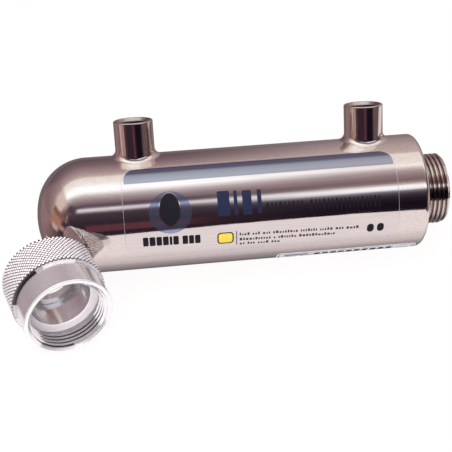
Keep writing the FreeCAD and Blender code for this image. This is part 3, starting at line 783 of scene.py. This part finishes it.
def mark(group, s0, s1, a0, a1, mat, rad=0.4, slot="clear_film"):
    """Plain rounded bar, one piece with the other bars of its group."""
    a0, a1 = min(a0, a1), max(a0, a1)
    rad = min(rad, (s1 - s0) / 2.05, (a1 - a0) * math.pi * R / 180 / 2.05)
    if group not in MARKS:
        MARKS[group] = (Build(), mat, slot)
    wrapped(group, rounded(s0, s1, a0, a1, rad, n=5), R_IN, R_TOP, mat, MARKS[group][0])


# Plain discs, bars and blocks stand where a real one carries print; nothing
# is lettered.
def disc(name, s, a, rad, mat, r1=R_TOP, r0=R_IN, n=28):
    k = 180 / (math.pi * R)
    rows = []
    for t in np.linspace(-90, 90, n):
        w = rad * math.cos(math.radians(t))
        rows.append((a + rad * k * math.sin(math.radians(t)), s - max(w, 0.02), s + max(w, 0.02)))
    return add(wrapped(name, rows, r0, r1, mat), "chamber", slot="clear_film")


def oval(name, s, a, rad, tall, mat, r1, n=36):
    k = 180 / (math.pi * R)
    rows = []
    for t in np.linspace(-90, 90, n):
        w = rad * math.cos(math.radians(t))
        rows.append((a + tall * k * math.sin(math.radians(t)), s - max(w, 0.02), s + max(w, 0.02)))
    return add(wrapped(name, rows, R_IN, r1, mat), "chamber", slot="clear_film")


disc("panel_disc", 56.8, 11.4, 9.0, PANEL, r1=R + 0.096)
oval("panel_ring", 56.7, 14.4, 4.65, 7.35, FILM, R + 0.098)
oval("panel_dot", 56.7, 14.4, 4.2, 6.85, INK, R_TOP)
x = 44.6
for i, w_ in enumerate((2.3, 2.5, 2.3, 2.4, 1.1, 2.3, 0, 2.3, 2.1, 2.3)):
    if w_:
        t = (x - 44.6) / 25.0
        mark("caption_blocks", x, x + w_, -11.0 - 1.7 * t, -20.9 - 1.2 * t, INK, rad=0.5)
        x += w_ + 0.42
    else:
        x += 1.2
for i, (p, q, hi_a, lo_a) in enumerate(((76.8, 81.9, 28.0, 4.2), (83.7, 85.2, 27.6, 4.4),
                                        (87.3, 91.2, 27.0, 3.8), (93.6, 95.4, 26.9, 4.4))):
    mark("title_blocks", p, q, lo_a, hi_a, INK_BLUE, rad=0.5)
x = 97.4
for i in range(26):
    if i in (9,):
        x += 2.2
    w_ = 0.55 if i % 3 else 0.85
    t = (x - 97.4) / 50
    mark("title_strokes", x, x + w_, 4.0 - 3.0 * t, 13.9 - 1.2 * t, INK, rad=0.25)
    x += w_ + 1.18
bar("accent_edge", 75.9, 82.9, -25.2, -12.4, INK, rad=1.5, r1=R + 0.096)
bar("accent_fill", 76.45, 82.35, -24.0, -13.6, YELLOW, rad=1.1)
bar("accent_line", 83.95, 84.35, -28.0, -12.0, INK_GREY, rad=0.15)
for j, (a_, end) in enumerate(((-14.3, 137.0), (-20.2, 126.8), (-25.4, 103.0))):
    x = 85.4
    i = 0
    while x < end - 0.8:
        w_ = float(RNG.choice([0.75, 0.9, 1.1, 0.6]))
        gap = 0.42 if RNG.rand() > 0.16 else 1.3
        h_ = float(RNG.choice([2.1, 2.6, 3.2]))
        sag = -2.6 * (x - 85.4) / 51.6
        mark("note_row_%d" % j, x, x + w_, a_ - 2.9 + sag, a_ - 2.9 + h_ + sag, INK_GREY, rad=0.2)
        x += w_ + gap
        i += 1
for i, (p, q) in enumerate(((140.6, 143.6), (145.0, 148.0))):
    mark("mark_bars", p, q, -25.6, -16.0, INK, rad=1.45)
bar("rating_box", 106.0, 116.5, -60.5, -57.2, INK_GREY, rad=0.3, slot="white_film")
x = 119.5
for i in range(10):
    mark("rating_blocks", x, x + 2.5, -64.0, -57.6, INK, rad=0.4, slot="white_film")
    x += 3.6
for j, a in enumerate((-67.0, -73.5, -80.0, -86.5, -93.0)):
    x = 106.0
    for i, w_ in enumerate((7, 11, 5, 9, 12, 6)):
        w_ = w_ + ((j * 3 + i * 5) % 4) - 1
        mark("rating_lines", x, min(x + w_, 162.5), a, a + 2.8, INK_GREY, rad=0.3, slot="white_film")
        x += w_ + 1.2
        if x > 161:
            break
for group, (b, mat, slot) in MARKS.items():
    add(b.obj(group, CH, mat, sharp=40, weld=1e-5), "chamber", slot=slot)

# --------------------------------------------------------- sleeve and seal
b = Build()
outer = [(10.5, 0.0)] + arc(22.0, 0, 11.5, 178, 90, 30) + [(181.1 - 0.3, 11.5), (181.1, 11.2), (181.1, 10.3),
                                                           (181.1 - 0.3, 10.0)]
inner = arc(22.0, 0, 10.0, 90, 178, 30) + [(12.0, 0.0)]
b.lathe(supported(outer + inner, closed=False, step=20) , n=96, closed=False)
add(b.obj("quartz_tube", CH, QUARTZ, sharp=40), "sleeve", "quartz_sleeve", slot="quartz")

b = Build()
b.lathe([(180.17 + x, 12.52 + y) for x, y in arc(0, 0, 1.0, 0, 360 - 15, 23)], n=128)
add(b.obj("seal_ring", CH, RUBBER, sharp=80), "sleeve", "sleeve_o_ring", slot="black_rubber")

# --------------------------------------------------------------------- nut
NN = 144          # two lattice steps to a diamond
J = 18
b = Build()
K0, K1 = 12.95, 28.85
H_TOP, H_LOW, FLAT = 19.4, 18.80, 0.68
front = [(0.65, 15.95), (0.0, 16.6), (0.0, 17.45)] + arc(0.55, 17.45, 0.55, 180, 90, 8)[1:] + \
        [(12.1, 18.0), (12.3, 17.8), (12.3, 17.5), (12.8, 17.5)]
rings_f = b.lathe(supported(front, closed=False), n=NN, closed=False)
low, top = {}, {}


def lattice(i, j, r):
    a = 2 * math.pi * i / NN
    return (K0 + (K1 - K0) * j / J, r * math.cos(a), r * math.sin(a))


for j in range(J + 1):
    for i in range(NN):
        if (i + j) % 2:
            low[(i, j)] = b.point(lattice(i, j, H_LOW))
        elif j in (0, J):
            v = b.point(lattice(i, j, H_TOP - 0.06))
            for d in ((1, 0), (-1, 0), (0, 1), (0, -1)):
                top[(i, j, d)] = v
        else:
            quad = []
            for d in ((1, 0), (0, 1), (-1, 0), (0, -1)):
                v = b.point(lattice(i + FLAT * d[0], j + FLAT * d[1], H_TOP))
                top[(i, j, d)] = v
                quad.append(v)
            b.f.append(tuple(quad))
for j in range(J):
    for i in range(NN):
        i1 = (i + 1) % NN
        if (i + j) % 2 == 0:
            b.f.append((top[(i, j, (1, 0))], low[(i1, j)], low[(i, j + 1)], top[(i, j, (0, 1))]))
            b.f.append((top[(i1, j + 1, (-1, 0))], low[(i, j + 1)], low[(i1, j)], top[(i1, j + 1, (0, -1))]))
        else:
            b.f.append((top[(i1, j, (-1, 0))], low[(i, j)], low[(i1, j + 1)], top[(i1, j, (0, 1))]))
            b.f.append((top[(i, j + 1, (1, 0))], low[(i1, j + 1)], low[(i, j)], top[(i, j + 1, (0, -1))]))
edge0 = [low[(i, 0)] if i % 2 else top[(i, 0, (1, 0))] for i in range(NN)]
b.bridge(b.ring(12.8, 17.5, NN), edge0)
edge1 = [low[(i, J)] if (i + J) % 2 else top[(i, J, (1, 0))] for i in range(NN)]
b.bridge(edge1, b.ring(29.2, 18.6, NN))
backp = [(29.2, 18.6), (29.5, 18.3), (29.5, 10.3), (29.2, 10.0), (25.75, 10.0), (25.75, 12.3), (25.45, 12.6),
         (12.05, 12.6), (11.8, 12.85), (11.8, 16.2), (9.6, 16.2), (9.3, 15.95)]
b.lathe(supported(backp, closed=False), n=NN, closed=False)


def nut_env(d, r):
    if d < 1.7:
        r = max(r, 15.95 - max(0.0, (d - 0.65)) * 1.03)
    if d > 8.5:
        r = max(r, 14.87 + (d - 8.5) * 1.6)
    return min(r, 15.95)


b.thread(0.65, 9.3, 2.0, thread_radius(14.9, 15.95), nut_env, n=NN)
nut = b.obj("knurled_lamp_nut", NUT, ALU, sharp=26)
for mt_ in (KNURL, NUT_DARK, NUT_RIM, NUT_LEDGE, NUT_BORE, NUT_THREAD, KNURL_SIDE, NUT_GROOVE, NUT_VALLEY,
            NUT_FACE, NUT_FACE_MID):
    nut.data.materials.append(mt_)
inv = NUT.inverted()
for p in nut.data.polygons:
    c = inv @ p.center
    r_ = math.hypot(c.y, c.z)
    nx = (inv.to_3x3() @ p.normal).normalized().x
    if c.x > 12.85 and r_ > 18.7 and c.x < 29.0:
        # knurl flats: near-white, a painted highlight; knurl sides: darker, painted shade
        p.material_index = 1 if r_ > 19.3 else 7
    elif 12.1 < c.x < 13.0 and r_ > 17.2:
        # the shoulder between skirt and knurl is coloured by angle round the nut: near-black from 10 to 64 degrees,
        # a darker copy round that and past 118 degrees, a brighter copy over the rest; painted shade and painted
        # highlight fixed to the nut
        turn_ = math.degrees(math.atan2(c.z, c.y))
        p.material_index = 8 if 10 < turn_ < 64 else (11 if -12 < turn_ < 76 or turn_ > 118 else 10)
    elif c.x < 0.62 and r_ > 15.9:
        # front rim: brighter copy, a painted highlight
        p.material_index = 3
    elif 11.7 < c.x < 12.1 and 12.5 < r_ < 16.25:
        # ledge: near-white and almost unmetallic, a painted highlight
        p.material_index = 4
    elif c.x >= 11.9 and r_ < 12.7:
        p.material_index = 5
    elif 9.3 <= c.x < 11.9 and r_ > 15.8:
        # undercut: darker, painted shade
        p.material_index = 2
    elif c.x < 9.4 and r_ < 16.0:
        # thread roots darker, painted shade; the rest of the thread brighter, a painted highlight
        p.material_index = 9 if r_ > 15.5 and c.x > 1.6 else 6
add(nut, "lamp_nut_body", "lamp_nut", slot="machined_aluminium")

# ------------------------------------------------- carried-over CAD pieces
CARRY = {
    "sleeve_cradle": SPRING, "sleeve_spring": SPRING, "lamp_glass": LAMP_GLASS, "lamp_stems": LAMP_GLASS,
    "lamp_filaments": TUNGSTEN, "lamp_support_wires": TUNGSTEN, "lamp_base": CERAMIC, "lamp_pins": NICKEL,
    "lamp_end_cap": CERAMIC, "return_lead": LEAD, "lamp_spacer_rings": SILICONE,
}
for n, m in CARRY.items():
    o = NODES[n]
    o.data.materials.clear()
    o.data.materials.append(m)

# -------------------------------------------------------------------- stage
FLOOR_GLOW, FLOOR_ALBEDO = 0.95, 0.05
fl_m = bpy.data.materials.new("pale_table")
fl_m.use_nodes = True
fl_nt = fl_m.node_tree
fl_nt.nodes.clear()
fl_out = fl_nt.nodes.new("ShaderNodeOutputMaterial")
fl_add = fl_nt.nodes.new("ShaderNodeAddShader")
fl_dif = fl_nt.nodes.new("ShaderNodeBsdfDiffuse")
fl_em = fl_nt.nodes.new("ShaderNodeEmission")
fl_n = noise(fl_nt, coords(fl_nt), 25, 3, 0.5)
fl_c = mix_rgb(fl_nt, fl_n.outputs["Fac"], (FLOOR_ALBEDO * 0.97,) * 3, (FLOOR_ALBEDO,) * 3)
fl_nt.links.new(fl_c.outputs[2], fl_dif.inputs["Color"])
fl_em.inputs["Color"].default_value = (1.0, 0.99, 0.985, 1)
fl_em.inputs["Strength"].default_value = FLOOR_GLOW
fl_nt.links.new(fl_dif.outputs[0], fl_add.inputs[0])
fl_nt.links.new(fl_em.outputs[0], fl_add.inputs[1])
fl_nt.links.new(fl_add.outputs[0], fl_out.inputs[0])


def sheet(name, outline, z, mat):
    me = bpy.data.meshes.new(name)
    me.from_pydata([(x, y, z) for x, y in outline], [], [tuple(range(len(outline)))])
    o = bpy.data.objects.new(name, me)
    scene.collection.objects.link(o)
    me.materials.append(mat)
    return o


# the whole table, and the near part of it, which is what the metal mirrors: that part is a glowing sheet with a
# painted shadow, darker towards the line where the tube rests on it
table = sheet("table", [(-1.0, -0.9), (1.0, -0.9), (1.0, 0.9), (-1.0, 0.9)], 0.0, fl_m)
table.visible_glossy = False
nr_m = bpy.data.materials.new("pale_table_near_painted_shadow")
nr_m.use_nodes = True
nr_nt = nr_m.node_tree
nr_nt.nodes.clear()
nr_out = nr_nt.nodes.new("ShaderNodeOutputMaterial")
nr_em = nr_nt.nodes.new("ShaderNodeEmission")
nr_tc = nr_nt.nodes.new("ShaderNodeTexCoord")
nr_sep = nr_nt.nodes.new("ShaderNodeSeparateXYZ")
nr_nt.links.new(nr_tc.outputs["Object"], nr_sep.inputs[0])


def nr_math(op, p, q=0.0):
    n = nr_nt.nodes.new("ShaderNodeMath")
    n.operation = op
    for k, w in enumerate((p, q)):
        if isinstance(w, (int, float)):
            n.inputs[k].default_value = w
        else:
            nr_nt.links.new(w, n.inputs[k])
    return n.outputs[0]


past = nr_math("MAXIMUM", nr_math("MAXIMUM", nr_math("SUBTRACT", -0.0582, nr_sep.outputs[0]),
                                  nr_math("SUBTRACT", nr_sep.outputs[0], 0.085)), 0.0)
side = nr_math("SUBTRACT", nr_sep.outputs[1], 0.0198)
away = nr_math("SQRT", nr_math("ADD", nr_math("MULTIPLY", past, past), nr_math("MULTIPLY", side, side)))
# painted shadow: the glow falls from 0.93 far off to 0.185 at the contact line
nr_r = nr_nt.nodes.new("ShaderNodeValToRGB")
stops = [(0.0118, 0.185), (0.0148, 0.20), (0.0168, 0.27), (0.0188, 0.33), (0.0208, 0.385), (0.0228, 0.46),
         (0.0248, 0.60), (0.0288, 0.72), (0.0323, 0.77), (0.0358, 0.84), (0.042, 0.92), (0.0495, 0.93)]
el = nr_r.color_ramp.elements
while len(el) < len(stops):
    el.new(0.5)
for e_, (d_, v_) in zip(el, stops):
    e_.position = d_ / 0.05
    e_.color = (v_, v_ * (0.975 - 0.09 * (1 - v_)), v_ * (0.99 - 0.02 * (1 - v_)), 1)
nr_nt.links.new(nr_math("DIVIDE", away, 0.05), nr_r.inputs[0])
nr_nt.links.new(nr_r.outputs[0], nr_em.inputs["Color"])
nr_nt.links.new(nr_em.outputs[0], nr_out.inputs[0])
near = sheet("table_near", [(-0.122, -0.205), (-0.05, -0.235), (0.01, -0.35), (0.06, -0.46), (0.165, -0.50),
                            (0.165, 0.0225), (-0.122, 0.0225)], -0.00005, nr_m)
near.visible_camera = False
near.visible_diffuse = False
near.visible_shadow = False

# world: plain white behind, a banded studio round it for the metal to mirror
w = bpy.data.worlds.new("studio")
scene.world = w
w.use_nodes = True
nt = w.node_tree
nt.nodes.clear()
out = nt.nodes.new("ShaderNodeOutputWorld")
bg = nt.nodes.new("ShaderNodeBackground")
white = nt.nodes.new("ShaderNodeBackground")
white.inputs[0].default_value = (1, 1, 1, 1)
white.inputs[1].default_value = 1.0
mixs = nt.nodes.new("ShaderNodeMixShader")
lp = nt.nodes.new("ShaderNodeLightPath")
nt.links.new(lp.outputs["Is Camera Ray"], mixs.inputs[0])
nt.links.new(bg.outputs[0], mixs.inputs[1])
nt.links.new(white.outputs[0], mixs.inputs[2])
nt.links.new(mixs.outputs[0], out.inputs[0])
tc = nt.nodes.new("ShaderNodeTexCoord")
sep = nt.nodes.new("ShaderNodeSeparateXYZ")
nt.links.new(tc.outputs["Generated"], sep.inputs[0])
SX, SY, SZ = sep.outputs


def m_(op, a, b=None, c=None, clamp=False):
    n = nt.nodes.new("ShaderNodeMath")
    n.operation = op
    n.use_clamp = clamp
    for i, val in enumerate((a, b, c)):
        if val is None:
            continue
        if isinstance(val, (int, float)):
            n.inputs[i].default_value = val
        else:
            nt.links.new(val, n.inputs[i])
    return n.outputs[0]


def smooth(val, lo_v, hi_v):
    n = nt.nodes.new("ShaderNodeMapRange")
    n.interpolation_type = "SMOOTHSTEP"
    nt.links.new(val, n.inputs["Value"])
    n.inputs["From Min"].default_value = lo_v
    n.inputs["From Max"].default_value = hi_v
    return n.outputs[0]


def blend(fac, a, b):
    return mix_rgb(nt, fac, a, b).outputs[2]


turn = m_("ARCTAN2", SZ, m_("MULTIPLY", SY, -1.0))
u = m_("ADD", m_("DIVIDE", turn, 2 * math.pi), 0.5)


def banded(stops):
    """Colours by elevation round the row axis, 0 towards the viewer, 90 overhead."""
    n = ramp(nt, [(d / 360 + 0.5, c) for d, c in stops])
    nt.links.new(u, n.inputs[0])
    return n.outputs[0]


LEFT = banded([
    (-180, (0.20, 0.15, 0.16)), (-100, (0.20, 0.16, 0.16)), (-20, (0.30, 0.25, 0.25)), (-7, (0.034, 0.022, 0.03)),
    (0, (0.026, 0.016, 0.026)), (3, (0.040, 0.021, 0.032)), (20, (0.040, 0.026, 0.040)), (36, (0.065, 0.046, 0.065)),
    (40, (0.14, 0.11, 0.13)), (43.5, (0.72, 0.72, 0.80)), (46.5, (0.85, 0.86, 0.92)), (50, (0.16, 0.13, 0.16)),
    (54, (0.12, 0.086, 0.12)), (58, (0.23, 0.17, 0.21)), (66, (0.41, 0.34, 0.36)), (73, (0.64, 0.61, 0.64)),
    (77, (0.95, 0.98, 1.02)), (83, (1.35, 1.45, 1.5)), (91, (1.25, 1.38, 1.42)), (98, (1.07, 1.10, 1.08)),
    (113, (0.93, 0.90, 0.88)), (117, (0.60, 0.52, 0.50)), (126, (0.46, 0.36, 0.37)), (138, (0.34, 0.25, 0.275)),
    (150, (0.23, 0.165, 0.19)), (164, (0.17, 0.12, 0.14)), (180, (0.14, 0.10, 0.125))])
RIGHT = banded([
    (-180, (0.28, 0.23, 0.24)), (-100, (0.22, 0.18, 0.18)), (-20, (0.30, 0.25, 0.25)), (-7, (0.014, 0.011, 0.018)),
    (10, (0.010, 0.006, 0.014)), (20, (0.020, 0.014, 0.025)), (27, (0.048, 0.038, 0.058)), (32, (0.12, 0.11, 0.13)),
    (35.5, (0.30, 0.31, 0.36)), (39, (1.15, 1.22, 1.32)), (44, (1.25, 1.34, 1.38)), (47, (0.72, 0.74, 0.74)),
    (51, (0.35, 0.29, 0.285)), (56, (0.245, 0.17, 0.19)), (66, (0.34, 0.26, 0.28)), (75, (0.50, 0.43, 0.45)),
    (80, (0.70, 0.68, 0.68)), (85, (1.08, 1.08, 1.10)), (88, (1.12, 1.13, 1.13)), (91, (0.98, 0.98, 0.95)),
    (115, (0.95, 0.90, 0.87)), (118, (0.62, 0.54, 0.52)), (128, (0.57, 0.49, 0.48)), (140, (0.51, 0.44, 0.45)),
    (152, (0.43, 0.37, 0.37)), (166, (0.38, 0.31, 0.33)), (180, (0.28, 0.23, 0.25))])
MID_L = banded([
    (-180, (0.25, 0.17, 0.185)), (-165, (0.31, 0.21, 0.225)), (-140, (0.31, 0.20, 0.215)), (-90, (0.16, 0.10, 0.11)),
    (-10, (0.05, 0.03, 0.04)),
    (0, (0.09, 0.045, 0.055)),
    (12, (0.06, 0.035, 0.05)), (24, (0.09, 0.06, 0.075)), (40, (0.14, 0.095, 0.11)), (52, (0.24, 0.17, 0.17)),
    (60, (0.42, 0.34, 0.33)), (72, (0.66, 0.60, 0.58)), (84, (0.76, 0.69, 0.67)), (96, (0.74, 0.69, 0.66)),
    (108, (0.66, 0.60, 0.59)), (117, (0.45, 0.37, 0.36)), (126, (0.38, 0.28, 0.28)), (140, (0.32, 0.23, 0.25)),
    (160, (0.26, 0.18, 0.20)), (180, (0.25, 0.17, 0.185))])
SIDE_L = banded([
    (-180, (0.25, 0.17, 0.185)), (-165, (0.31, 0.21, 0.225)), (-140, (0.32, 0.21, 0.22)), (-60, (0.15, 0.09, 0.09)),
    (-14, (0.12, 0.07, 0.065)),
    (2, (0.30, 0.17, 0.15)), (14, (0.48, 0.25, 0.18)), (42, (0.50, 0.265, 0.19)), (52, (0.30, 0.18, 0.16)),
    (64, (0.44, 0.36, 0.33)), (92, (0.46, 0.39, 0.35)), (112, (0.38, 0.30, 0.28)), (132, (0.33, 0.25, 0.25)),
    (160, (0.27, 0.19, 0.205)), (180, (0.25, 0.17, 0.185))])
SIDE_R = banded([
    (-180, (0.26, 0.20, 0.21)), (-140, (0.16, 0.12, 0.13)), (-100, (0.10, 0.06, 0.065)), (-14, (0.14, 0.09, 0.10)),
    (-4, (0.05, 0.035, 0.04)), (10, (0.016, 0.011, 0.016)), (40, (0.05, 0.04, 0.045)), (66, (0.09, 0.065, 0.07)),
    (90, (0.16, 0.12, 0.12)), (120, (0.30, 0.24, 0.24)), (150, (0.40, 0.33, 0.33)), (180, (0.42, 0.36, 0.36))])
sky = blend(smooth(SX, 0.02, 0.27), LEFT, RIGHT)
LEFTWARD = m_("MULTIPLY", SX, -1.0)
sky = blend(smooth(LEFTWARD, 0.63, 0.74), sky, MID_L)
sky = blend(smooth(LEFTWARD, 0.84, 0.97), sky, SIDE_L)
sky = blend(smooth(SX, 0.70, 0.93), sky, SIDE_R)
# soft cards and dark gaps around the studio: azimuth (to the right of the viewer), elevation
DEG = 180 / math.pi
AZ = m_("MULTIPLY", m_("ARCTAN2", SX, m_("MULTIPLY", SY, -1.0)), DEG)
EL = m_("MULTIPLY", m_("ARCSINE", SZ), DEG)


def card(sky, az, el, half_w, half_h, soft, colour):
    u = smooth(m_("ABSOLUTE", m_("SUBTRACT", AZ, az)), half_w - soft, half_w + soft)
    v = smooth(m_("ABSOLUTE", m_("SUBTRACT", EL, el)), half_h - soft, half_h + soft)
    return blend(m_("MULTIPLY", m_("SUBTRACT", 1.0, u), m_("SUBTRACT", 1.0, v)), sky, colour)


sky = card(sky, -2, 8.4, 5, 6.2, 2.4, (0.128, 0.043, 0.060))
sky = card(sky, -84, 31, 12, 9, 5, (0.76, 0.63, 0.58))
sky = card(sky, -76, 16.5, 17, 4.5, 2.5, (0.25, 0.13, 0.12))
sky = card(sky, -79, 2.5, 14, 9, 3, (0.42, 0.225, 0.17))
sky = card(sky, -66, -9, 8, 5, 3, (0.06, 0.035, 0.05))
sky = card(sky, -46, 36, 13, 9, 6, (0.10, 0.06, 0.08))
sky = card(sky, -54, 19, 1.8, 7, 1.6, (0.34, 0.21, 0.20))
sky = card(sky, -79, -6.5, 8, 4, 3, (0.58, 0.44, 0.42))
sky = card(sky, -62, -1.5, 6, 3.5, 3, (0.44, 0.31, 0.30))
level = m_("SUBTRACT", 1.0, smooth(m_("ABSOLUTE", m_("ADD", SZ, 0.02)), 0.10, 0.30))
azim_r = m_("ARCTAN2", SY, SX)
patch = m_("MULTIPLY", m_("SUBTRACT", 1.0, smooth(m_("ABSOLUTE", m_("ADD", azim_r, 0.50)), 0.12, 0.42)), level)
sky = blend(patch, sky, (0.15, 0.10, 0.105))
nt.links.new(sky, bg.inputs[0])
bg.inputs[1].default_value = 1.0


def area(name, loc, target, size, power, color=(1, 1, 1), glossy=False, diffuse=True):
    l = bpy.data.lights.new(name, "AREA")
    l.shape = "RECTANGLE"
    l.size, l.size_y = size
    l.energy = power
    l.color = color
    o = bpy.data.objects.new(name, l)
    scene.collection.objects.link(o)
    o.location = loc
    o.rotation_euler = (Vector(target) - Vector(loc)).to_track_quat("-Z", "Y").to_euler()
    o.visible_glossy = glossy
    o.visible_diffuse = diffuse
    o.visible_camera = False
    return o


area("overhead", (0.0, -0.25, 1.1), (0, 0, 0), (1.8, 1.8), 18)
area("front_fill", (-0.3, -0.9, 0.6), (0, 0, 0), (0.8, 0.5), 8.5)
# pale card lying off to the right, seen only in the metal
area("side_card", (0.32, 0.06, 0.0), (0.32, 0.06, 1.0), (0.24, 0.22), 0.12, (1.0, 0.9, 0.88), True, False)

# ------------------------------------------------------------------- camera
cam_d = bpy.data.cameras.new("camera")
cam = bpy.data.objects.new("camera", cam_d)
scene.collection.objects.link(cam)
cam.matrix_world = Matrix((
    (0.99223897, 0.08089168, -0.09443713, -0.04167973),
    (-0.12402891, 0.58967413, -0.79806093, -0.32445647),
    (-0.00886936, 0.80358008, 0.59513056, 0.27020523),
    (0, 0, 0, 1)))
cam_d.sensor_width = 36.0
cam_d.lens = 75.93
cam_d.clip_start = 0.01
cam_d.dof.use_dof = False
scene.camera = cam
scene.view_settings.view_transform = "Standard"
scene.view_settings.look = "None"
scene.view_settings.exposure = 0.0
scene.view_settings.gamma = 1.0
